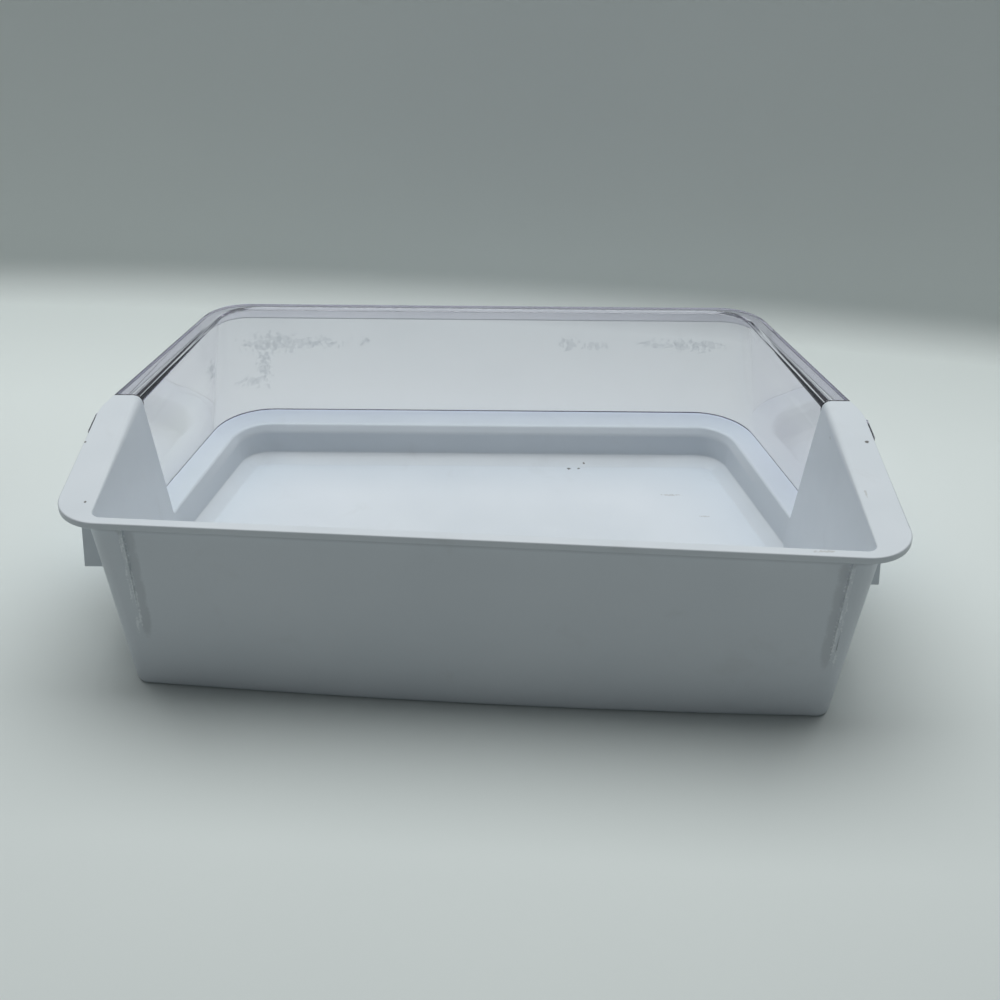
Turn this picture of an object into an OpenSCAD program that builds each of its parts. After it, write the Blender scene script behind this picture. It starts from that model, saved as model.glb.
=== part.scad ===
// Refrigerator door bin, seen from its door side: an opaque moulded tub with two arms
// and a clear moulded front between them. X runs across the door, +Y points away from
// the door, +Z is up. The bin stands on its base, centred on the origin.

/* [Overall] */
// Width across the rim
width = 370; // [320:1:440]
// Depth over the left arm, from the rear rim to the front rim
depth_left = 222; // [205:0.5:280]
// Depth over the right arm, from the rear rim to the front rim
depth_right = 245.5; // [205:0.5:300]
// Height of the rim at the rear
rear_height = 95; // [80:0.5:120]
// Height of the rim where the arms end
arm_height = 92; // [78:0.5:118]
// Height of the rim along the clear front
front_height = 84.5; // [74:0.5:115]

/* [Plan] */
// How far the arms reach, from the middle of the rear rim
arm_reach = 122.5; // [118:0.5:140]
// How far the sides run before they turn in to the front
turn_reach = 110; // [95:0.5:114]
// How far each end of the front rim lies inside the full width
front_inset = 39; // [25:0.5:50]
// Angle at which each side closes in, on its way to the front
side_taper = 1; // [0:0.1:2]
// Corner radius of the rim at the rear
rear_corner = 21; // [12:0.5:30]
// Corner radius of the rim where the sides turn in
turn_corner = 33; // [20:0.5:40]
// Corner radius of the rim at the front
front_corner = 24; // [16:0.5:34]

/* [Tub] */
// Wall thickness
wall = 2.5; // [1.8:0.1:3.5]
// Floor thickness
floor_thickness = 2.5; // [1.8:0.1:4]
// Draft of the side walls
side_draft = 6.3; // [2:0.1:8]
// Draft of the rear wall
rear_draft = 2; // [0.5:0.1:4]
// Draft of the low front wall, under the ledge
low_draft = 6; // [2:0.5:10]
// Corner radius of the tub at the rear
tub_corner = 7; // [4:0.5:12]
// Radius along the edge of the base
base_radius = 2; // [1:0.1:3]
// Inner corner radius of the low front wall
low_corner = 17; // [12:0.5:22]
// Width of the slope between the floor and the walls
slope_width = 7.2; // [4:0.1:9]
// Height of that slope
slope_height = 3.7; // [2:0.1:5.5]
// How far the foot of the rear wall bows out in the middle
rear_bow = 3.3; // [0:0.1:5]

/* [Ledge under the clear front] */
// Height of the ledge where the clear front stands on it
ledge_height = 22.3; // [16:0.1:30]
// Width of the ledge along the front, inside the clear wall
ledge_width = 13.8; // [10:0.1:18]
// Width of the ledge along the turned-in sides, inside the clear wall
ledge_side_width = 11.2; // [9:0.1:14]
// Corner radius of the ledge's inner edge
ledge_corner = 22; // [16:0.5:26]
// Width of the shoulder along the ledge's inner edge
shoulder_width = 2.6; // [1:0.1:4]
// How far the shoulder drops along the front
shoulder_drop = 2.8; // [1:0.1:5]
// How far the shoulder drops at the arms
shoulder_arm_drop = 7.8; // [2:0.1:10]

/* [Rim] */
// How far the rim stands out over the side walls
side_overhang = 15; // [8:0.5:20]
// How far the rim stands out over the rear wall
rear_overhang = 2.8; // [2:0.1:5]
// Thickness of the rim over the arms
rim_thickness = 2.3; // [1.8:0.1:3]
// Height of the rim's outer edge
rim_edge = 3.2; // [2.4:0.1:6]
// Thickness of the edge that hangs from the rim over the arms
rim_edge_thickness = 1.9; // [1.2:0.1:2.6]
// Inner radius of the rim at the rear
rear_fillet = 0.8; // [0.4:0.1:1.5]
// Inner radius of the rim where the arms end
arm_fillet = 4.4; // [2:0.1:5]

/* [Ribs on the rear wall] */
// How far the top of each rib lies inside the full width
rib_inset = 29; // [28:0.5:60]
// How far both ribs stand off to the right
rib_shift = 1.5; // [-5:0.5:5]
// Thickness of a rib
rib_thickness = 1.8; // [1:0.1:3]
// Height over the base at which the ribs run out
rib_end = 31; // [15:0.5:50]

/* [Lug pockets] */
// How far the outer faces of the pockets lie inside the full width, at their lower ends
pocket_inset = 3.2; // [2.5:0.1:6]
// Angle at which the pockets open out, on their way down
pocket_flare = 4; // [0:0.5:6]
// Where the right pocket starts, ahead of the middle of the rear rim
pocket_start = 33; // [25:0.5:50]
// How much further ahead the left pocket starts
pocket_lag = 9; // [0:0.5:12]
// Room between each pocket's end and the clear wall that runs in behind the arm
pocket_room = 1.8; // [0.5:0.1:6]
// Height of the pocket's open lower end over the base
pocket_bottom = 48; // [38:0.5:65]
// Wall thickness of a pocket
pocket_wall = 2; // [1.5:0.1:3]
// Radius of the pocket's front corner
pocket_corner = 10; // [4:0.5:12]

/* [Clear front] */
// Thickness of the clear wall
clear_wall = 2.2; // [1.6:0.1:3]
// Inset of the clear wall's inner face at its foot, along the front
foot_inset = 9.5; // [9:0.1:13]
// Inset of the clear wall's inner face at its foot, along the turned-in sides
foot_side_inset = 7; // [6.5:0.1:10]
// Corner radius of the clear wall's inner face at its foot
foot_corner = 33; // [24:0.5:36]
// Width of the clear rim along the front
clear_rim = 5; // [4.6:0.1:9]
// Width of the clear rim at the front corners
clear_rim_corner = 8.4; // [7:0.1:12]
// Thickness of the clear rim
clear_rim_thickness = 2.2; // [1.6:0.1:3]
// Height of the skirt that hangs from the clear rim's outer edge
skirt_height = 8; // [4:0.5:12]
// Thickness of that skirt
skirt_thickness = 1.6; // [1.2:0.1:2.2]
// Inner radius of the clear rim along the front
clear_fillet = 1; // [0.6:0.1:2]
// How far the ear at each end of the skirt reaches back under the arm's rim
ear_length = 30.5; // [20:0.5:36]
// How far the ears stand out over the rim
ear_flare = 2.7; // [2:0.1:3.5]
// Thickness of an ear
ear_thickness = 1.5; // [1.2:0.1:2]
// Length of the rounded tip of an ear
ear_tip = 3; // [1:0.5:5]
// Clearance between the clear front and the tub
fit_gap = 0.3; // [0.2:0.05:0.5]

/* [Hidden] */
white = [0.87, 0.90, 0.95];
clear = [0.80, 0.80, 0.90, 0.4];

corner_steps = 12;
turn_steps = 6;
bow_steps = 6;
round_steps = 4;
waist_share = 0.75;
shelf_share = 0.7;
corner_share = 1.5;
soft = 0.5;
// Smallest corner radius of the tub's inner face
least_corner = 1;
// How far the ribs' faces stand back from the wall's foot and from the rim's edge
rib_setback = 0.3;
// Share of the difference between the two drafts by which the ribs lean outward
rib_lean = 0.3;
// How far each ear runs in under the end of the skirt, and its two faces there
ear_lap = 2;
ear_root_outer = -0.2;
ear_root_inner = -1.4;

half = width / 2;
depth = (depth_left + depth_right) / 2;
skew = (depth_left - depth_right) / width;
turn_point = [side_x(turn_reach, 0), turn_reach];
front_point = [half - front_inset, depth];
bevel_run = unit(front_point - turn_point);
bevel_in = [-bevel_run[1], bevel_run[0]];
pocket_end = turn_reach;
tail_length = arm_reach + fit_gap - pocket_end - pocket_room;
shoulder_foot = ledge_height - shoulder_drop;
shoulder_arm_foot = ledge_height - shoulder_arm_drop;
ear_end = arm_reach - ear_length;
ear_x = side_x(ear_end + ear_tip, 0) + ear_flare;

function unit(v) = v / norm(v);
function mix(a, b, share) = a + (b - a) * share;
function reversed(list) = [for (i = [len(list) - 1 : -1 : 0]) list[i]];
function flipped(p) = [-p[0], p[1]];

// Points of the arc that rounds corner b, on the way from a to c
function arc(a, b, c, radius, steps) =
    let (
        u = unit(a - b),
        v = unit(c - b),
        opening = acos(u * v),
        centre = b + unit(u + v) * radius / sin(opening / 2),
        from = b + u * radius / tan(opening / 2) - centre,
        side = sign(u[0] * v[1] - u[1] * v[0])
    )
    [for (i = [0 : steps])
        let (turn = -side * (180 - opening) * i / steps)
        centre + [from[0] * cos(turn) - from[1] * sin(turn),
                  from[0] * sin(turn) + from[1] * cos(turn)]];

// Plan lines of the rim, each moved inward by an inset
function side_x(y, inset) = half - y * tan(side_taper) - inset;
function rear_y(x, inset) = x * skew + inset;
function bevel_at(y, inset) =
    let (p = turn_point + bevel_in * inset)
    [p[0] + bevel_run[0] * (y - p[1]) / bevel_run[1], y];
function bevel_corner(inset, front) = bevel_at(depth - front, inset);

// Height of the rim's top at a place in plan
function rim_z(y) =
    y < arm_reach
        ? mix(rear_height, arm_height, max(y, 0) / arm_reach)
        : mix(arm_height, front_height, (y - arm_reach) / (depth - arm_reach));

// Points of the rim's turn, from the arm's end backwards, and how far forward each stands
turn_points = arc(front_point, turn_point, [side_x(0, 0), 0], turn_corner, turn_steps);
side_stations = concat([arm_reach], [for (p = turn_points) p[1]]);

// Outline of the rim from the right arm's end round the rear to the left arm's end
function rear_corner_points(sign_x, side, rear, radius) =
    let (
        x = side_x(0, side),
        corner_y = rear_y(sign_x * x, rear),
        a = [sign_x * side_x(turn_reach, side), turn_reach],
        b = [sign_x * side_x(corner_y, side), corner_y],
        c = [0, rear_y(0, rear)],
        points = arc(a, b, c, radius, corner_steps)
    )
    sign_x > 0 ? points : reversed(points);
function rear_outline(side, rear, radius, bow = 0, turned = false) =
    let (
        stations = [for (y = side_stations) [side_x(y, side), y]],
        rounded = concat([bevel_at(arm_reach, side)], turn_points),
        flank = turned ? rounded : stations,
        right = rear_corner_points(1, side, rear, radius),
        left = rear_corner_points(-1, side, rear, radius),
        from = right[corner_steps],
        to = left[0],
        middle = [for (i = [1 : bow_steps - 1])
            let (share = i / bow_steps)
            mix(from, to, share) - [0, 4 * bow * share * (1 - share)]]
    )
    concat(flank, right, middle, left, reversed([for (p = flank) flipped(p)]));

// Outline of the front from the right arm's end round to the left arm's end
function front_outline(start_x, bevel, front, radius) =
    let (
        a = [start_x, arm_reach],
        b = bevel_corner(bevel, front),
        right = arc(a, b, [0, depth - front], radius, corner_steps)
    )
    concat([a], right, reversed([for (p = right) flipped(p)]), [flipped(a)]);

// Shares along the rear outline: 1 over the arms and 0 along the rear
flank_count = turn_steps + 2;
arm_share = concat(
    [for (i = [1 : flank_count]) 1],
    [for (i = [0 : corner_steps]) 1 - i / corner_steps],
    [for (i = [1 : bow_steps - 1]) 0],
    [for (i = [0 : corner_steps]) i / corner_steps],
    [for (i = [1 : flank_count]) 1]);
// Shares along the rear outline: 1 at the arms' ends and 0 at the corners and the rear
flank_share = [for (y = side_stations) (y - tub_corner) / (arm_reach - tub_corner)];
fillet_share = concat(
    flank_share,
    [for (i = [1 : 2 * corner_steps + bow_steps + 1]) 0],
    reversed(flank_share));

// Middle of the whole bin in plan, which stands on the origin
brim = rear_outline(0, 0, rear_corner, 0, true);
brim_x = concat([-ear_x, ear_x], [for (p = brim) p[0]]);
brim_y = [for (p = brim) p[1]];
middle = [min(brim_x) + max(brim_x), min(brim_y) + depth] / 2;
module centred() {
    translate([-middle[0], -middle[1], 0]) children();
}

// Rows of points: an outline at one height, or below the rim's top by a drop
function level(outline, z) = [for (p = outline) [p[0], p[1], z]];
function sloped(outline, arm_z, front_z) =
    [for (p = outline)
        [p[0], p[1], mix(arm_z, front_z, (p[1] - arm_reach) / (depth - arm_reach))]];
function under_rim(outline, drop) = [for (p = outline) [p[0], p[1], rim_z(p[1]) - drop]];
function blended(a, b, shares) = [for (i = [0 : len(a) - 1]) mix(a[i], b[i], shares[i])];
function joined(rows) = [for (row = rows) each row];
function turned(faces) = [for (f = faces) reversed(f)];

// Triangles between two rows of points that start at a and b, for the columns named
function between(a, b, columns, count) =
    [for (i = columns)
        let (j = (i + 1) % count)
        each [[a + i, a + j, b + j], [a + i, b + j, b + i]]];
function stacked(first, count, rows, columns) =
    [for (k = [0 : rows - 2]) each between(first + k * count, first + (k + 1) * count, columns, count)];
// Triangles that close a strip's end, past its first pair of rows, which it shares with its
// neighbour: the rows lead out along one face and back on the other
function end_faces(first, count, rows, column, flip, lowest) =
    [for (k = [lowest : rows / 2 - 2])
        let (
            a = first + k * count + column,
            b = a + count,
            d = first + (rows - 1 - k) * count + column,
            c = d - count
        )
        each flip ? [[c, b, a], [d, c, a]] : [[a, b, c], [a, c, d]]];
function strip_faces(first, count, rows, lowest) =
    concat(
        stacked(first, count, rows, [0 : count - 2]),
        end_faces(first, count, rows, 0, false, lowest),
        end_faces(first, count, rows, count - 1, true, lowest));

// Solid of these triangles, without those that a shared point leaves empty
module skin(points, faces) {
    polyhedron(points, [for (f = faces)
        let (a = points[f[0]], b = points[f[1]], c = points[f[2]])
        if (a != b && b != c && a != c) f]);
}

// Insets of the tub's outer faces at a height
function side_inset(z) = side_overhang + (rear_height - z) * tan(side_draft);
function rear_inset(z) = rear_overhang + (rear_height - z) * tan(rear_draft);
function bow_at(z) = rear_bow * (1 - z / rear_height);

// Tub outline behind the arms' ends at a height, moved inward by an inset
function tub_rear(z, inset) =
    rear_outline(side_inset(z) + inset, rear_inset(z) + inset,
                 max(tub_corner - inset, least_corner), bow_at(z));
// Tub outline ahead of the arms' ends, under the ledge
function tub_front(z, inset) =
    let (out = shoulder_width - wall + inset + (shoulder_foot - z) * tan(low_draft))
    front_outline(
        side_x(arm_reach, side_inset(z) + inset),
        foot_side_inset + ledge_side_width + out,
        foot_inset + ledge_width + out,
        low_corner + (wall - inset) * corner_share);
function tub_loop(z, inset) =
    let (front = tub_front(z, inset), count = len(front))
    concat(tub_rear(z, inset), [for (i = [count - 2 : -1 : 1]) front[i]]);

// Shell of the basket: base, walls, ledge and rim in one skin
module basket_shell() {
    edge = [for (i = [0 : round_steps]) 90 * i / round_steps];
    base_rows = [for (a = edge)
        let (z = base_radius * (1 - cos(a)))
        level(tub_loop(z, base_radius * (1 - sin(a))), z)];
    slope_top = floor_thickness + slope_height;
    floor_rows = [
        level(tub_loop(slope_top, wall), slope_top),
        level(tub_loop(floor_thickness, wall + slope_width), floor_thickness)];
    loop_count = len(base_rows[0]);

    // Top of the lower walls: the outer face and, a wall's thickness higher, the inner one
    rear_outer = level(tub_rear(shoulder_arm_foot - wall, 0), shoulder_arm_foot - wall);
    rear_inner = level(tub_rear(shoulder_arm_foot, wall), shoulder_arm_foot);
    front_outer = sloped(
        tub_front(shoulder_arm_foot - wall, 0), shoulder_arm_foot - wall, shoulder_foot - wall);
    front_inner = sloped(tub_front(shoulder_arm_foot, wall), shoulder_arm_foot, shoulder_foot);
    front_count = len(front_outer);
    loop_outer = concat(rear_outer, [for (i = [front_count - 2 : -1 : 1]) front_outer[i]]);
    loop_inner = concat(rear_inner, [for (i = [front_count - 2 : -1 : 1]) front_inner[i]]);

    // Rear and side walls, the rim and its hanging edge
    rear_count = len(rear_outer);
    under = blended(
        under_rim(tub_rear(rear_height, 0), rim_edge),
        under_rim(tub_rear(rear_height, 0), rim_thickness), arm_share);
    edge_line = rear_outline(
        rim_edge_thickness, rim_edge_thickness, rear_corner - rim_edge_thickness, 0, true);
    edge_root = blended(
        under_rim(edge_line, rim_edge), under_rim(edge_line, rim_thickness), arm_share);
    edge_foot = under_rim(edge_line, rim_edge);
    fillet_rows = [for (a = edge)
        let (in = 1 - cos(a), down = 1 - sin(a))
        blended(
            under_rim(tub_rear(rear_height, wall - rear_fillet * in), rear_fillet * down),
            under_rim(tub_rear(rear_height, wall - arm_fillet * in), arm_fillet * down),
            fillet_share)];
    brim_top = under_rim(rear_outline(soft, soft, rear_corner - soft, 0, true), 0);
    brim_side = under_rim(brim, soft);
    brim_foot = under_rim(brim, rim_edge);
    shelf_outer = level(tub_rear(ledge_height, 0), ledge_height);
    shelf_inner = level(tub_rear(ledge_height, wall), ledge_height);
    wall_rows = concat(
        [rear_outer, shelf_outer],
        [for (i = [0 : round_steps + 1]) under],
        [edge_root, edge_root, edge_foot, brim_foot, brim_side, brim_top],
        reversed(fillet_rows),
        [shelf_inner, shelf_inner, rear_inner]);

    // Ledge from its underside round its outer edge to the shoulder. The clear front stands
    // on it, flush with its outer edge
    function ledge_row(start_x, out, side, radius, z) =
        level(front_outline(start_x, foot_side_inset + side, foot_inset + out, radius), z);
    function foot_row(out, z) =
        ledge_row(bevel_at(arm_reach, foot_side_inset + out)[0], out, out, foot_corner - out, z);
    shelf = ledge_row(shelf_outer[0][0], ledge_width * shelf_share, ledge_side_width * shelf_share,
                      mix(foot_corner, ledge_corner, shelf_share), ledge_height);
    ledge_edge = ledge_row(
        shelf_inner[0][0], ledge_width, ledge_side_width, ledge_corner, ledge_height);
    ledge_rows = [
        front_outer, front_outer, front_outer,
        foot_row(0, ledge_height - wall), foot_row(-clear_wall, ledge_height - wall),
        foot_row(-clear_wall, ledge_height), foot_row(0, ledge_height),
        shelf, ledge_edge, front_inner];

    lower_rows = concat(base_rows, [loop_outer]);
    inner_rows = concat([loop_inner], floor_rows);
    first_inner = len(lower_rows) * loop_count;
    first_wall = first_inner + len(inner_rows) * loop_count;
    first_ledge = first_wall + len(wall_rows) * rear_count;
    around = [0 : loop_count - 1];
    last_row = first_wall - loop_count;
    skin(
        concat(joined(lower_rows), joined(inner_rows), joined(wall_rows), joined(ledge_rows)),
        concat(
            [[for (i = around) loop_count - 1 - i]],
            [[for (i = around) last_row + i]],
            stacked(0, loop_count, len(lower_rows), around),
            stacked(first_inner, loop_count, len(inner_rows), around),
            strip_faces(first_wall, rear_count, len(wall_rows), 1),
            turned(strip_faces(first_ledge, front_count, len(ledge_rows), 2))));
}

// Upright rib on the rear wall: as deep as the rim stands out at its top, run out below
module rib(side) {
    slant = rear_height * (tan(side_draft) - tan(rear_draft)) * rib_lean;
    x = side * (half - rib_inset) + rib_shift;
    foot_x = x - side * slant;
    top_z = rear_height - rim_edge / 2;
    sunk = wall / 2;
    function rib_points(x, z, out) = [for (corner = [[-1, out], [1, out], [1, -sunk], [-1, -sunk]])
        [x + corner[0] * rib_thickness / 2, rear_y(x, rear_inset(z)) - corner[1], z]];
    points = concat(rib_points(foot_x, rib_end, -rib_setback),
                    rib_points(x, top_z, rear_overhang - rib_setback));
    around = between(0, 4, [0 : 3], 4);
    polyhedron(points, concat(turned(around), [[0, 1, 2], [0, 2, 3], [6, 5, 4], [7, 6, 4]]));
}

// Pocket that slides down over the door's lug: it hangs from the rim outside the side wall,
// open below, with the tub's wall as its inner side
module pocket(start) {
    function outer_x(z, inset) = half - pocket_inset - (z - pocket_bottom) * tan(pocket_flare) - inset;
    function root(y, z) = [side_x(y, side_inset(z) + wall / 2), y];
    function outline(z, inset) =
        let (
            x = outer_x(z, inset),
            rear = start + inset,
            front = pocket_end - inset,
            a = root(rear, z),
            d = root(front, z),
            corner = arc([x, rear], [x, front], d, pocket_corner - inset, corner_steps)
        )
        concat([a, [x, rear]], corner, [d]);
    function row(high, inset) = [for (p = outline(high ? rear_height : pocket_bottom, inset))
        [p[0], p[1], high ? rim_z(p[1]) - rim_thickness / 2 : pocket_bottom]];
    rows = [row(false, 0), row(true, 0), row(true, pocket_wall), row(false, pocket_wall)];
    count = len(rows[0]);
    last = count - 1;
    skin(
        joined(rows),
        turned(concat(
            stacked(0, count, 4, [0 : count - 2]),
            between(3 * count, 0, [0 : count - 2], count),
            [[0, count, 2 * count], [0, 2 * count, 3 * count]],
            [[2 * count + last, count + last, last],
             [3 * count + last, 2 * count + last, last]])));
}

module basket() {
    color(white) centred() {
        basket_shell();
        for (side = [-1, 1]) rib(side);
        pocket(pocket_start);
        mirror([1, 0, 0]) pocket(pocket_start + pocket_lag);
    }
}

// Clear front: one moulding whose tails run in behind the arms. Its wall stands on the
// ledge, and its rim carries on the line of the arms with a skirt along its outer edge.
function clear_line(arm_inset, side, front, radius) =
    let (
        end_y = arm_reach + fit_gap,
        a = [bevel_at(end_y, arm_inset)[0], end_y],
        right = arc(a, bevel_corner(side, front), [0, depth - front], radius, corner_steps)
    )
    concat([a], right, reversed([for (p = right) flipped(p)]), [flipped(a)]);
function with_tails(row) =
    let (
        last = len(row) - 1,
        back = [-bevel_run[0], -bevel_run[1], 0] * tail_length / bevel_run[1]
    )
    concat([row[0] + back], row, [row[last] + [-back[0], back[1], 0]]);
function between_rows(a, b, share) = [for (i = [0 : len(a) - 1]) mix(a[i], b[i], share)];

module window() {
    foot_z = ledge_height + fit_gap;
    panel_x = side_x(arm_reach, side_overhang + wall);
    arm_inset = ([panel_x, arm_reach] - turn_point) * bevel_in;
    edge = [for (i = [0 : round_steps]) 90 * i / round_steps];

    function foot(out) = level(
        clear_line(foot_side_inset - out, foot_side_inset - out, foot_inset - out,
                   foot_corner + out), foot_z);
    count = len(foot(0));
    arm_end_share = [for (i = [0 : count - 1]) i == 0 || i == count - 1 ? 1 : 0];
    function rounded_row(a, out) =
        let (
            big = arm_fillet * (1 - cos(a)) + out,
            small = clear_fillet * (1 - cos(a)) + out,
            line = clear_line(arm_inset - big, clear_rim_corner - small, clear_rim - small,
                              front_corner - clear_rim + small)
        )
        blended(under_rim(line, clear_fillet * (1 - sin(a))),
                under_rim(line, arm_fillet * (1 - sin(a))), arm_end_share);
    function brim_row(inset, drop) =
        under_rim(clear_line(inset, inset, inset, front_corner - inset), drop);

    waist_in = between_rows(foot(0), rounded_row(0, 0), waist_share);
    waist_out = between_rows(foot(clear_wall), rounded_row(0, clear_wall), waist_share);
    wall_rows = [with_tails(foot(clear_wall)), with_tails(waist_out),
                 with_tails(waist_in), with_tails(foot(0))];
    top_out = [for (p = rounded_row(0, clear_wall)) [p[0], p[1], rim_z(p[1]) - clear_rim_thickness]];
    rim_rows = concat(
        [waist_out],
        [for (i = [0 : round_steps + 1]) top_out],
        [brim_row(skirt_thickness, clear_rim_thickness), brim_row(skirt_thickness, skirt_height)],
        [brim_row(0, skirt_height), brim_row(0, soft), brim_row(soft, 0)],
        [for (a = reversed(edge)) rounded_row(a, 0)]);
    tail_count = count + 2;
    first_rim = 4 * tail_count;
    color(clear) centred() {
        for (side = [-1, 1]) ear(side);
        skin(
            concat(joined(wall_rows), joined(rim_rows), waist_in),
            turned(concat(
                between(0, tail_count, [0 : count], tail_count),
                between(2 * tail_count, 3 * tail_count, [0 : count], tail_count),
                between(3 * tail_count, 0, [0 : count], tail_count),
                between(tail_count, 2 * tail_count, [0, count], tail_count),
                [[0, tail_count, 2 * tail_count], [0, 2 * tail_count, 3 * tail_count]],
                let (e = count + 1)
                [[2 * tail_count + e, tail_count + e, e],
                 [3 * tail_count + e, 2 * tail_count + e, e]],
                strip_faces(first_rim, count, len(rim_rows) + 1, 0))));
    }
}

// Ear at the end of the skirt: it runs back under the arm's rim, round the turn, and stands
// out a little over it
module ear(side) {
    root_y = arm_reach + fit_gap + ear_lap;
    function rim_x(y) = y > turn_reach ? bevel_at(y, 0)[0] : side_x(y, 0);
    flared = [for (i = [0 : turn_steps])
        let (share = i / turn_steps)
        [mix(root_y, turn_reach, share), mix(ear_root_outer, ear_flare, share),
         mix(ear_root_inner, ear_flare - ear_thickness, share)]];
    tip = [for (i = [0 : turn_steps])
        let (a = 90 * i / turn_steps)
        [ear_end + ear_tip * (1 - sin(a)), ear_flare - ear_thickness * (1 - cos(a)),
         ear_flare - ear_thickness]];
    stations = concat(flared, tip);
    function row(face, drop) = [for (s = stations)
        [side * (rim_x(s[0]) + s[face]), s[0], rim_z(s[0]) - drop]];
    top = rim_edge + fit_gap;
    bottom = skirt_height - soft;
    count = len(stations);
    rows = concat(row(1, bottom), row(1, top), row(2, top), row(2, bottom));
    faces = concat(
        stacked(0, count, 4, [0 : count - 2]),
        between(3 * count, 0, [0 : count - 2], count),
        [[0, count, 2 * count], [0, 2 * count, 3 * count]]);
    skin(rows, side > 0 ? faces : turned(faces));
}

basket();
window();
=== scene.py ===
"""Refrigerator door bin on a pale studio sweep: a white moulded basket and its clear front.

Metres, in the CAD frame: X along the width, +Y away from the door, +Z up.
"""
from math import cos, pi, radians, sin

import bmesh
import bpy
from mathutils import Matrix, Vector


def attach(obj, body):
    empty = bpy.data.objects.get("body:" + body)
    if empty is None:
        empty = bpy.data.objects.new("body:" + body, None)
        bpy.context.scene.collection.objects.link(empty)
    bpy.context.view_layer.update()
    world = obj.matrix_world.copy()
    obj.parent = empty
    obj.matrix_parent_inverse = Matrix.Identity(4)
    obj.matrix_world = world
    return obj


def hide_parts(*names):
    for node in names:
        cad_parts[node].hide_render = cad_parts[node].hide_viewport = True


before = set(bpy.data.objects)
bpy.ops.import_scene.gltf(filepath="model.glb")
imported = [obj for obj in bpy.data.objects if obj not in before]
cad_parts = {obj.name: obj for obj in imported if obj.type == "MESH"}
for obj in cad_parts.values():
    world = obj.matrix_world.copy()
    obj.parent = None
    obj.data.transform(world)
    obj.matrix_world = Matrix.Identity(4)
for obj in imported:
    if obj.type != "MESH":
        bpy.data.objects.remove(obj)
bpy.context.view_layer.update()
scene = bpy.context.scene
millimetre = 0.001


# The view: a camera held above the door side of the bin, at the photograph's angle,
# over a pale sheet that runs back and sweeps up behind. The light is a wide soft panel
# overhead, a little behind the bin, so that the wall nearest the camera is in shade.
camera_place = Vector((0.00704, -0.6544, 0.4870))
camera_pitch = 0.600
camera_yaw = 0.003
camera_roll = 0.010
camera_lens = 57.17

camera_data = bpy.data.cameras.new("camera")
camera_data.lens = camera_lens
camera_data.sensor_width = 36
camera = bpy.data.objects.new("camera", camera_data)
scene.collection.objects.link(camera)
scene.camera = camera

ahead = Vector((sin(camera_yaw) * cos(camera_pitch), cos(camera_yaw) * cos(camera_pitch), -sin(camera_pitch)))
level_right = Vector((cos(camera_yaw), -sin(camera_yaw), 0))
level_down = ahead.cross(level_right)
right = level_right * cos(camera_roll) - level_down * sin(camera_roll)
down = level_right * sin(camera_roll) + level_down * cos(camera_roll)
camera.matrix_world = Matrix((
    (right.x, -down.x, -ahead.x, camera_place.x),
    (right.y, -down.y, -ahead.y, camera_place.y),
    (right.z, -down.z, -ahead.z, camera_place.z),
    (0, 0, 0, 1)))


def new_material(name):
    material = bpy.data.materials.new(name)
    material.use_nodes = True
    material.node_tree.nodes.clear()
    return material, material.node_tree.nodes, material.node_tree.links


def noise(nodes, links, place, scale, detail=3.0, roughness=0.5):
    texture = nodes.new("ShaderNodeTexNoise")
    texture.inputs["Scale"].default_value = scale
    texture.inputs["Detail"].default_value = detail
    texture.inputs["Roughness"].default_value = roughness
    links.new(place, texture.inputs["Vector"])
    return texture.outputs["Fac"]


def ramp(nodes, links, value, stops):
    node = nodes.new("ShaderNodeValToRGB")
    band = node.color_ramp
    while len(band.elements) < len(stops):
        band.elements.new(0.5)
    for element, (place, colour) in zip(band.elements, stops):
        element.position = place
        element.color = (*colour, 1)
    links.new(value, node.inputs["Fac"])
    return node.outputs["Color"]


def remapped(nodes, links, value, low, high, new_low, new_high):
    node = nodes.new("ShaderNodeMapRange")
    node.inputs["From Min"].default_value = low
    node.inputs["From Max"].default_value = high
    node.inputs["To Min"].default_value = new_low
    node.inputs["To Max"].default_value = new_high
    links.new(value, node.inputs["Value"])
    return node.outputs["Result"]


sweep_material, nodes, links = new_material("studio_sweep")
place = nodes.new("ShaderNodeTexCoord").outputs["Object"]
sheet = nodes.new("ShaderNodeBsdfPrincipled")
sheet.inputs["Specular IOR Level"].default_value = 0.2
links.new(ramp(nodes, links, noise(nodes, links, place, 3), [
    (0.3, (0.672, 0.712, 0.705)), (0.7, (0.693, 0.732, 0.722))]), sheet.inputs["Base Color"])
links.new(remapped(nodes, links, noise(nodes, links, place, 120), 0.3, 0.7, 0.72, 0.80),
          sheet.inputs["Roughness"])
see_through = nodes.new("ShaderNodeBsdfTransparent")
light_let_by = nodes.new("ShaderNodeMath")
light_let_by.operation = "MULTIPLY"
light_let_by.inputs[1].default_value = 0.6
links.new(nodes.new("ShaderNodeLightPath").outputs["Is Shadow Ray"], light_let_by.inputs[0])
unseen = nodes.new("ShaderNodeMath")
unseen.operation = "MAXIMUM"
links.new(nodes.new("ShaderNodeNewGeometry").outputs["Backfacing"], unseen.inputs[0])
links.new(light_let_by.outputs["Value"], unseen.inputs[1])
facing = nodes.new("ShaderNodeMixShader")
links.new(unseen.outputs["Value"], facing.inputs["Fac"])
links.new(sheet.outputs["BSDF"], facing.inputs[1])
links.new(see_through.outputs["BSDF"], facing.inputs[2])
output = nodes.new("ShaderNodeOutputMaterial")
links.new(facing.outputs["Shader"], output.inputs["Surface"])

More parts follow.
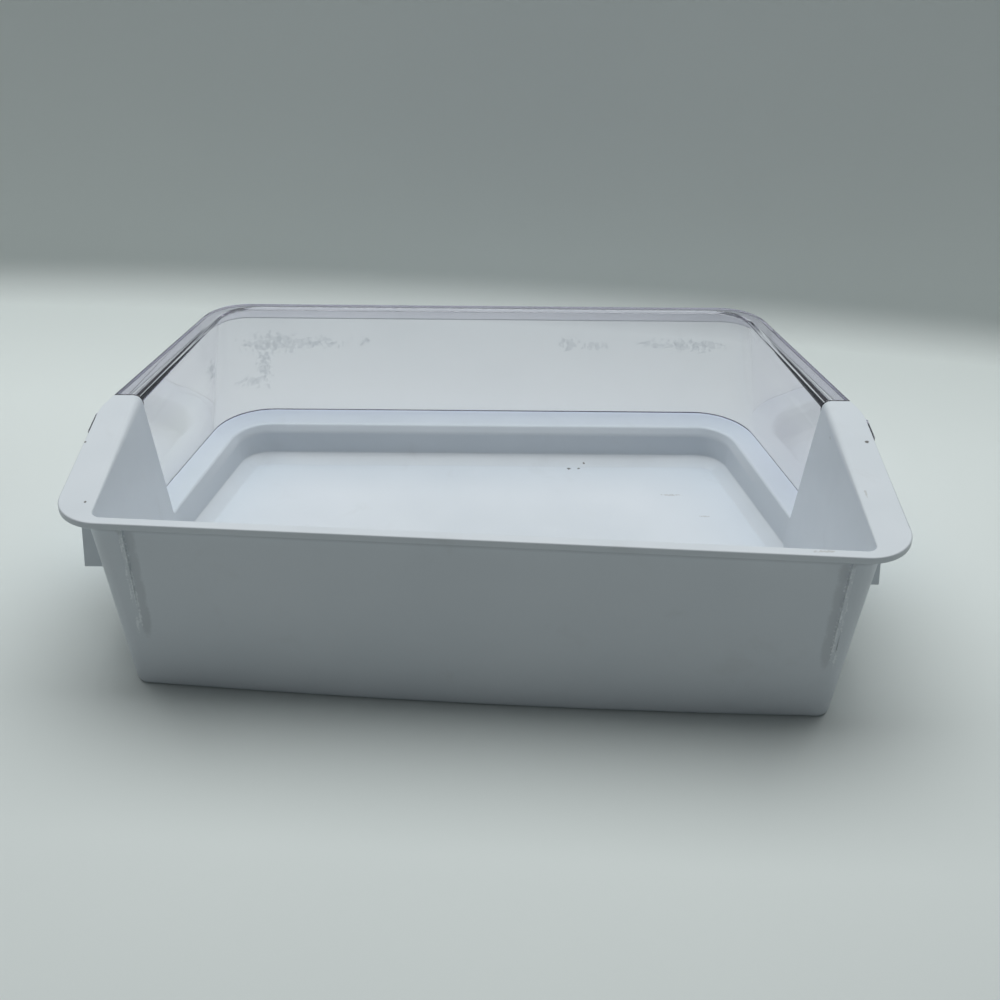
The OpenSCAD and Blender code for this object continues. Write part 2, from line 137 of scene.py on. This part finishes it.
# The sheet is seen from its front only, so that the bin shows from behind as well, and
# it lets part of the light by. It rises along a line that runs askew and bends a little,
# and the floor goes on past it.
sweep_width = 3.2
sweep_parts = 32
sweep_front = -1.8
sweep_back = 0.261
sweep_skew = -0.1145
sweep_bend = -0.161
bend_reach = 0.42
sweep_radius = 0.024
sweep_steps = 16
sweep_top = 0.20
floor_behind = 1.8


def sweep_line(x):
    near = max(-bend_reach, min(bend_reach, x))
    slope = sweep_skew + 2 * sweep_bend * near
    return sweep_back + sweep_skew * near + sweep_bend * near ** 2 + slope * (x - near)


sheet_shape = bmesh.new()
front_row = [sheet_shape.verts.new((sweep_width * (part / sweep_parts - 0.5), sweep_front, 0))
             for part in range(sweep_parts + 1)]
front_edges = [sheet_shape.edges.new(pair) for pair in zip(front_row, front_row[1:])]


def swept_on(edges, offset):
    grown = bmesh.ops.extrude_edge_only(sheet_shape, edges=edges)["geom"]
    points = [item for item in grown if isinstance(item, bmesh.types.BMVert)]
    bmesh.ops.translate(sheet_shape, verts=points, vec=offset)
    return [item for item in grown if isinstance(item, bmesh.types.BMEdge)
            and all(end in points for end in item.verts)]


fold = swept_on(front_edges, (0, -sweep_front, 0))
for point in {end for edge in fold for end in edge.verts}:
    point.co.y = sweep_line(point.co.x)
swept_on(fold, (0, floor_behind, 0))
reached = fold
for step in range(sweep_steps):
    before, after = (pi / 2 * (step + k) / sweep_steps for k in (0, 1))
    reached = swept_on(reached, (0, sweep_radius * (sin(after) - sin(before)),
                                 sweep_radius * (cos(before) - cos(after))))
swept_on(reached, (0, 0, sweep_top))
for face in sheet_shape.faces:
    face.smooth = True
    face.normal_update()
away_from_bin = [face for face in sheet_shape.faces if face.normal.z < face.normal.y]
bmesh.ops.reverse_faces(sheet_shape, faces=away_from_bin)
sheet_mesh = bpy.data.meshes.new("studio_sweep")
sheet_shape.to_mesh(sheet_mesh)
sheet_shape.free()
sweep = bpy.data.objects.new("studio_sweep", sheet_mesh)
sweep.data.materials.append(sweep_material)
scene.collection.objects.link(sweep)

panel_data = bpy.data.lights.new("overhead_panel", "AREA")
panel_data.shape = "RECTANGLE"
panel_data.size = 2.0
panel_data.size_y = 1.1
panel_data.energy = 22.5
panel_data.color = (0.97, 1.0, 0.995)
panel = bpy.data.objects.new("overhead_panel", panel_data)
panel.location = (0, 0.40, 1.35)
panel.rotation_euler = (radians(-15), 0, 0)
scene.collection.objects.link(panel)

room = bpy.data.worlds.new("room")
room.use_nodes = True
room.node_tree.nodes["Background"].inputs["Color"].default_value = (0.80, 0.86, 0.88, 1)
room.node_tree.nodes["Background"].inputs["Strength"].default_value = 0.12
scene.world = room
scene.view_settings.view_transform = "Standard"


# The basket: one white moulding with the floor, walls, ledge, rim, arms and lug pockets.
# Its surface is a fine satin from the mould, with faint grey handling marks, and a few dark specks where the
# photograph shows them. The wall nearest the camera carries painted shade under the rim and beside the ribs.
widest_edge = 1.2 * millimetre
sharp_from = radians(25)
shoulder_cuts = 11


def shoulder_smoothed(shape):
    """Beside each arm the wall twists into the ledge's slope: short strips, not long triangles."""
    for side in (-1, 1):
        def corner(x, y, z):
            wanted = millimetre * Vector((side * x, y, z))
            return min(shape.verts, key=lambda vert: (vert.co - wanted).length)

        foot, top = corner(155.6, 10.8, 6.2), corner(157.3, 10.8, 22.3)
        far_foot, far_middle, far_top = corner(134.6, 82.5, 6.2), corner(135.2, 83.4, 17.8), corner(138.3, 82.4, 22.3)
        upright = next((edge for edge in foot.link_edges if top in edge.verts), None)
        if upright:
            bmesh.utils.edge_split(upright, foot, 0.5)
        middle = corner(156.5, 10.8, 14.5)
        patch = {foot, middle, top, far_foot, far_middle, far_top}
        faces = [face for face in foot.link_faces[:] + top.link_faces[:] + middle.link_faces[:]
                 + far_middle.link_faces[:] if all(vert in patch for vert in face.verts)]
        bmesh.ops.delete(shape, geom=list(set(faces)), context="FACES_ONLY")
        below = shape.faces.new((foot, far_foot, far_middle, middle))
        above = shape.faces.new((middle, far_middle, far_top, top))
        below.normal_update()
        if below.normal.x * side > 0:
            bmesh.ops.reverse_faces(shape, faces=[below, above])
        long_edges = {edge for face in (below, above) for edge in face.edges
                      if edge.calc_length() > 50 * millimetre}
        bmesh.ops.subdivide_edges(shape, edges=list(long_edges), cuts=shoulder_cuts, use_grid_fill=True)


def merged_copy(node, name, edge_width):
    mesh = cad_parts[node].data.copy()
    mesh.name = name
    mesh.materials.clear()
    shape = bmesh.new()
    shape.from_mesh(mesh)
    bmesh.ops.remove_doubles(shape, verts=shape.verts, dist=0.002 * millimetre)
    bmesh.ops.dissolve_limit(shape, angle_limit=radians(0.05), verts=shape.verts, edges=shape.edges)
    if node == "basket":
        shoulder_smoothed(shape)
    weights = shape.edges.layers.float.new("bevel_weight_edge")
    for edge in shape.edges:
        edge[weights] = edge_width(edge) / widest_edge
    for face in shape.faces:
        face.smooth = True
    shape.to_mesh(mesh)
    shape.free()
    piece = bpy.data.objects.new(name, mesh)
    scene.collection.objects.link(piece)
    softened = piece.modifiers.new("soft_edges", "BEVEL")
    softened.width = widest_edge
    softened.segments = 3
    softened.limit_method = "WEIGHT"
    softened.use_clamp_overlap = False
    softened.harden_normals = True
    softened.miter_outer = "MITER_ARC"
    weighted = piece.modifiers.new("weighted_normals", "WEIGHTED_NORMAL")
    weighted.weight = 50
    weighted.keep_sharp = True
    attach(piece, "root")
    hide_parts(node)
    return piece


def plain_edge(edge):
    return 0.3 * millimetre if edge.calc_face_angle(0) > sharp_from else 0


def basket_edge(edge):
    """The floor's slope and the ledge's shoulder are rounded, other edges only broken."""
    first, second = edge.verts
    middle = (first.co + second.co) / 2
    level = abs(first.co.z - second.co.z) < 0.3 * edge.calc_length()
    inner = all(face.normal.z > 0.3 or face.normal.dot(Vector((middle.x, middle.y, 0))) < 0
                for face in edge.link_faces)
    if not (level and inner and edge.calc_face_angle(0) > radians(12)):
        return plain_edge(edge)
    if middle.z < 8 * millimetre:
        return 0.6 * millimetre
    if middle.z < 23 * millimetre:
        return widest_edge
    return plain_edge(edge)


def marks_group():
    group = bpy.data.node_groups.new("handling_marks", "ShaderNodeTree")
    group.interface.new_socket("Vector", in_out="INPUT", socket_type="NodeSocketVector")
    group.interface.new_socket("Scale", in_out="INPUT", socket_type="NodeSocketFloat")
    group.interface.new_socket("From", in_out="INPUT", socket_type="NodeSocketFloat")
    group.interface.new_socket("Mask", in_out="OUTPUT", socket_type="NodeSocketFloat")
    start = group.nodes.new("NodeGroupInput")
    end = group.nodes.new("NodeGroupOutput")
    broad = group.nodes.new("ShaderNodeTexNoise")
    broad.inputs["Detail"].default_value = 6
    broad.inputs["Roughness"].default_value = 0.62
    broad.inputs["Distortion"].default_value = 0.6
    group.links.new(start.outputs["Vector"], broad.inputs["Vector"])
    group.links.new(start.outputs["Scale"], broad.inputs["Scale"])
    cut = group.nodes.new("ShaderNodeMapRange")
    cut.interpolation_type = "SMOOTHSTEP"
    cut.inputs["From Max"].default_value = 0.85
    group.links.new(broad.outputs["Fac"], cut.inputs["Value"])
    group.links.new(start.outputs["From"], cut.inputs["From Min"])
    group.links.new(cut.outputs["Result"], end.inputs["Mask"])
    return group


def handled(nodes, links, place, scale, start):
    node = nodes.new("ShaderNodeGroup")
    node.node_tree = handling_marks
    node.inputs["Scale"].default_value = scale
    node.inputs["From"].default_value = start
    links.new(place, node.inputs["Vector"])
    return node.outputs["Mask"]


def summed(nodes, links, first, second, operation="ADD"):
    node = nodes.new("ShaderNodeMath")
    node.operation = operation
    node.use_clamp = True
    links.new(first, node.inputs[0])
    if isinstance(second, float):
        node.inputs[1].default_value = second
    else:
        links.new(second, node.inputs[1])
    return node.outputs["Value"]


def spot(nodes, links, place, centre, reach, strength=1.0, ragged=0.3, grain=900):
    away = nodes.new("ShaderNodeVectorMath")
    away.operation = "SUBTRACT"
    links.new(place, away.inputs[0])
    away.inputs[1].default_value = [millimetre * value for value in centre]
    scaled = nodes.new("ShaderNodeVectorMath")
    scaled.operation = "DIVIDE"
    links.new(away.outputs["Vector"], scaled.inputs[0])
    scaled.inputs[1].default_value = [millimetre * value for value in reach]
    length = nodes.new("ShaderNodeVectorMath")
    length.operation = "LENGTH"
    links.new(scaled.outputs["Vector"], length.inputs[0])
    torn = remapped(nodes, links, noise(nodes, links, place, grain, 4), 0.3, 0.7, -ragged, ragged)
    reached = nodes.new("ShaderNodeMath")
    links.new(length.outputs["Value"], reached.inputs[0])
    links.new(torn, reached.inputs[1])
    return remapped(nodes, links, reached.outputs["Value"], 0.6, 1.0, strength, 0.0)


def gathered(nodes, links, masks):
    whole = masks[0]
    for mask in masks[1:]:
        whole = summed(nodes, links, whole, mask, "MAXIMUM")
    return whole


def tinted(nodes, links, mask, plain, colour):
    mix = nodes.new("ShaderNodeMix")
    mix.data_type = "RGBA"
    links.new(mask, mix.inputs["Factor"])
    links.new(plain, mix.inputs[6])
    mix.inputs[7].default_value = (*colour, 1)
    return mix.outputs[2]


def painted_wall_shade(nodes, links, place):
    """Painted shade on the outer face of the wall nearest the camera: dark lines under the rim and along the ribs'
    inner sides, standing in for the shade of the rim and ribs.
    """
    level = nodes.new("ShaderNodeSeparateXYZ")
    links.new(place, level.inputs["Vector"])
    way = nodes.new("ShaderNodeSeparateXYZ")
    links.new(nodes.new("ShaderNodeTexCoord").outputs["Normal"], way.inputs["Vector"])
    under_rim = remapped(nodes, links, level.outputs["Z"], 91.5 * millimetre, 91.8 * millimetre, 1, 0)
    outer = remapped(nodes, links, way.outputs["Y"], -0.8, -0.5, 1, 0)
    lines = gathered(nodes, links, [
        remapped(nodes, links, level.outputs["Z"], 88.2 * millimetre, 89.6 * millimetre, 0, 0.30)] + [
        spot(nodes, links, place, centre, reach, 0.22, 0.1) for centre, reach in rib_painted_shade])
    return summed(nodes, links, summed(nodes, links, under_rim, outer, "MULTIPLY"), lines, "MULTIPLY")


handling_marks = marks_group()

# Centre and half length along X, Y and Z of each mark, in millimetres
dark_specks = [
    ((179.6, -28.0, 92.9), (1.1, 1.4, 1.5)),
    ((-183.2, -34.0, 93.1), (0.8, 0.9, 1.5)),
    ((-171.9, -84.6, 94.3), (0.7, 0.8, 1.5)),
    ((47.5, 85.3, 2.5), (1.3, 1.0, 1.5)),
    ((52.9, 85.4, 2.5), (0.9, 0.8, 1.5)),
    ((55.8, 89.4, 3.6), (0.8, 0.7, 1.5))]
grey_scuffs = [
    ((165.5, -14.4, 86.4), (3.0, 1.2, 0.7)),
    ((170.7, -72.1, 94.0), (0.6, 3.2, 1.5)),
    ((145.0, -117.6, 95.0), (5.0, 0.9, 1.2)),
    ((102.0, 60.0, 2.5), (6.0, 0.9, 1.0)),
    ((118.0, 40.0, 2.5), (3.0, 0.7, 1.0))]

# Top and foot of each rib's inner edge, and the way from there to the middle of the bin.
# Each rib has lighter flecks along both edges, partly wear and partly painted highlight where the edges catch the
# light, and a painted shade line on its inner side.
rib_edges = [((-153.6, -101.6, 93.4), (-151.4, -96.8, 31.0), 1),
             ((156.6, -121.4, 93.4), (154.5, -116.2, 31.0), -1)]


def along_ribs(shares, inward, reach):
    return [((top[0] + (foot[0] - top[0]) * share + way * inward,
              top[1] + (foot[1] - top[1]) * share,
              top[2] + (foot[2] - top[2]) * share), reach)
            for top, foot, way in rib_edges for share in shares]


worn_and_lit_flecks = (along_ribs((0.14, 0.30, 0.50, 0.68, 0.84), 0.0, (0.7, 2.0, 5.0))
               + along_ribs((0.20, 0.44, 0.62, 0.92), -2.0, (0.6, 2.0, 4.5)))
# Where the painted shade lines run along each rib's inner side
rib_painted_shade = along_ribs((0.15, 0.38, 0.61, 0.84), 2.2, (3.0, 5.0, 13.0))

basket_material, nodes, links = new_material("white_moulded_plastic")
place = nodes.new("ShaderNodeTexCoord").outputs["Object"]
plastic = nodes.new("ShaderNodeBsdfPrincipled")
plastic.inputs["IOR"].default_value = 1.5
tone = ramp(nodes, links, noise(nodes, links, place, 14), [
    (0.35, (0.640, 0.680, 0.725)), (0.65, (0.668, 0.705, 0.748))])
handled_at = summed(nodes, links, handled(nodes, links, place, 38, 0.56), 0.45, "MULTIPLY")
tone = tinted(nodes, links, handled_at, tone, (0.56, 0.58, 0.60))
# Painted shade: darker lines under the rim and along the ribs' inner sides, where the rim and ribs shade the wall
tone = tinted(nodes, links, painted_wall_shade(nodes, links, place), tone, (0.20, 0.21, 0.23))
# Lighter flecks along the rib edges: partly wear, partly painted highlight where the edges catch the light
worn_and_lit_at = gathered(nodes, links, [
    spot(nodes, links, place, centre, reach, 0.65, 0.9) for centre, reach in worn_and_lit_flecks])
tone = tinted(nodes, links, worn_and_lit_at, tone, (0.88, 0.91, 0.94))
scuffed_at = gathered(nodes, links, [
    spot(nodes, links, place, centre, reach, 0.45, 0.5) for centre, reach in grey_scuffs])
tone = tinted(nodes, links, scuffed_at, tone, (0.36, 0.34, 0.32))
speck_at = gathered(nodes, links, [
    spot(nodes, links, place, centre, reach, 0.9) for centre, reach in dark_specks])
links.new(tinted(nodes, links, speck_at, tone, (0.10, 0.09, 0.08)), plastic.inputs["Base Color"])
satin = remapped(nodes, links, noise(nodes, links, place, 60, 5), 0.3, 0.7, 0.34, 0.46)
links.new(summed(nodes, links, satin, summed(nodes, links, handled_at, 0.25, "MULTIPLY")),
          plastic.inputs["Roughness"])
grain = nodes.new("ShaderNodeBump")
grain.inputs["Strength"].default_value = 0.10
grain.inputs["Distance"].default_value = 0.0002
links.new(noise(nodes, links, place, 1800, 2), grain.inputs["Height"])
links.new(grain.outputs["Normal"], plastic.inputs["Normal"])
output = nodes.new("ShaderNodeOutputMaterial")
links.new(plastic.outputs["BSDF"], output.inputs["Surface"])

basket = merged_copy("basket", "white_basket", basket_edge)
basket.data.materials.append(basket_material)


# The clear front: one moulding of clear, slightly violet plastic with a channel rim. It
# stands on the basket's ledge and runs in behind the arms.
# Centre and half length along X, Y and Z of each smudge, in millimetres
window_smudges = [
    ((-117.0, 115.5, 63.5), (12.0, 3.0, 4.0)),
    ((-96.0, 115.5, 64.0), (13.0, 3.0, 2.2)),
    ((-65.0, 115.5, 64.5), (2.6, 3.0, 2.0)),
    ((-122.0, 115.2, 52.0), (3.0, 3.0, 9.0)),
    ((-131.0, 114.6, 41.0), (8.0, 4.0, 2.4)),
    ((-147.5, 92.0, 60.0), (3.0, 3.0, 5.0)),
    ((46.0, 115.6, 64.0), (4.0, 3.0, 3.0)),
    ((61.0, 115.6, 63.0), (5.0, 3.0, 1.6)),
    ((93.0, 115.6, 64.5), (7.0, 3.0, 1.6)),
    ((113.0, 115.6, 64.0), (13.0, 3.0, 2.6))]

window_material, nodes, links = new_material("clear_violet_plastic")
place = nodes.new("ShaderNodeTexCoord").outputs["Object"]
clear = nodes.new("ShaderNodeBsdfPrincipled")
clear.inputs["IOR"].default_value = 1.49
clear.inputs["Specular IOR Level"].default_value = 0.35
clear.inputs["Transmission Weight"].default_value = 0.98
hazed_at = summed(nodes, links, handled(nodes, links, place, 30, 0.50), 0.5, "MULTIPLY")
smudged_at = gathered(nodes, links, [
    spot(nodes, links, place, centre, reach, 0.55, 1.5, 420) for centre, reach in window_smudges])
tone = ramp(nodes, links, noise(nodes, links, place, 20), [
    (0.3, (0.975, 0.970, 0.985)), (0.7, (0.990, 0.985, 0.997))])
tone = tinted(nodes, links, hazed_at, tone, (0.93, 0.93, 0.95))
links.new(tinted(nodes, links, smudged_at, tone, (0.62, 0.64, 0.68)), clear.inputs["Base Color"])
hazy = remapped(nodes, links, hazed_at, 0.0, 0.5, 0.02, 0.06)
links.new(summed(nodes, links, hazy, summed(nodes, links, smudged_at, 0.2, "MULTIPLY")),
          clear.inputs["Roughness"])
tint = nodes.new("ShaderNodeVolumeAbsorption")
tint.inputs["Color"].default_value = (0.56, 0.51, 0.68, 1)
tint.inputs["Density"].default_value = 95
open_way = nodes.new("ShaderNodeBsdfTransparent")
open_way.inputs["Color"].default_value = (0.77, 0.84, 0.845, 1)
path = nodes.new("ShaderNodeLightPath")
either = nodes.new("ShaderNodeMixShader")
links.new(path.outputs["Is Shadow Ray"], either.inputs["Fac"])
links.new(clear.outputs["BSDF"], either.inputs[1])
links.new(open_way.outputs["BSDF"], either.inputs[2])
output = nodes.new("ShaderNodeOutputMaterial")
links.new(either.outputs["Shader"], output.inputs["Surface"])
links.new(tint.outputs["Volume"], output.inputs["Volume"])

def window_edge(edge):
    return 0.5 * millimetre if edge.calc_face_angle(0) > sharp_from else 0


window = merged_copy("window", "clear_front", window_edge)
window.data.materials.append(window_material)
